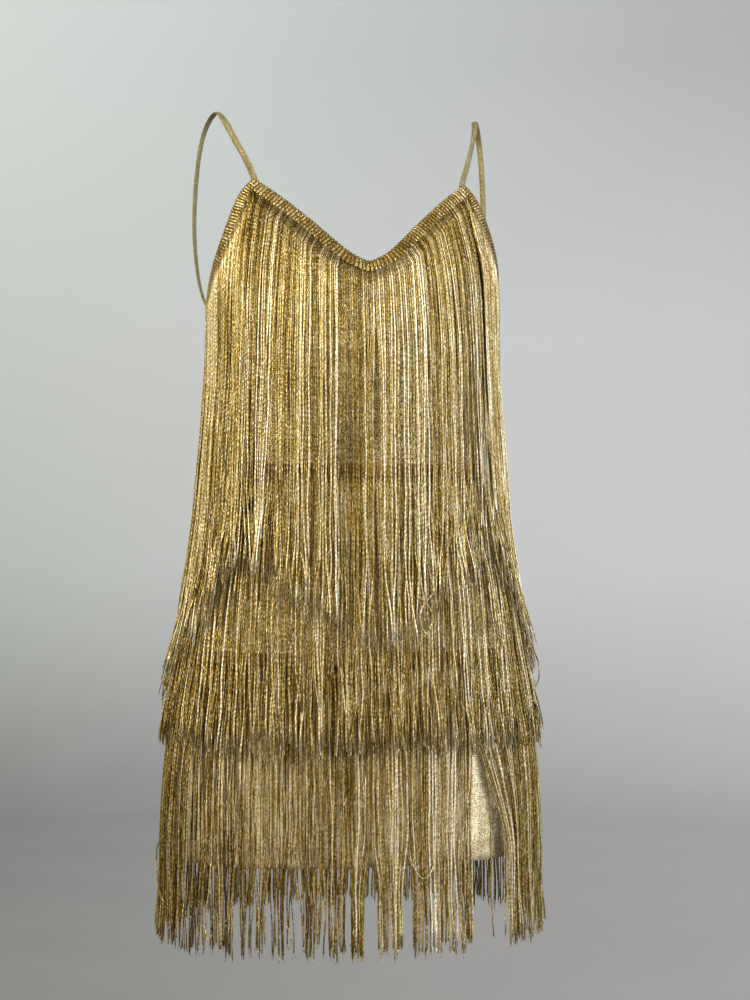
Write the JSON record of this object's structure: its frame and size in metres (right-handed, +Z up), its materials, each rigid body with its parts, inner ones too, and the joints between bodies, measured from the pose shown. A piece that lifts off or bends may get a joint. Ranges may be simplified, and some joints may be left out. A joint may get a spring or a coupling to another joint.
{
  "type": "flapper dress",
  "caption": "Sleeveless slip dress on shoulder straps, V neck, with three tiers of long hanging fringe.",
  "frame": {"origin": "midway between the shoulders, at the height where the undersides of the two straps rest on them", "axes": "+Z up along the dress, -Y out of the front, +X towards the wearer's left side"},
  "size_m": [0.3672, 0.2495, 0.7925],
  "materials": {
    "gold knit": "sheer sparkling metallic knit",
    "gold strap": "flat metallic knit tube",
    "gold fringe yarn": "twisted metallic yarn"
  },
  "bodies": {
    "root": {"slip_front": "gold knit", "slip_back": "gold knit", "strap_left": "gold strap", "strap_right": "gold strap", "fringe_neck": "gold fringe yarn", "fringe_armhole_left": "gold fringe yarn", "fringe_armhole_right": "gold fringe yarn", "fringe_back": "gold fringe yarn", "fringe_waist": "gold fringe yarn", "fringe_hip": "gold fringe yarn"}
  },
  "joints": []
}
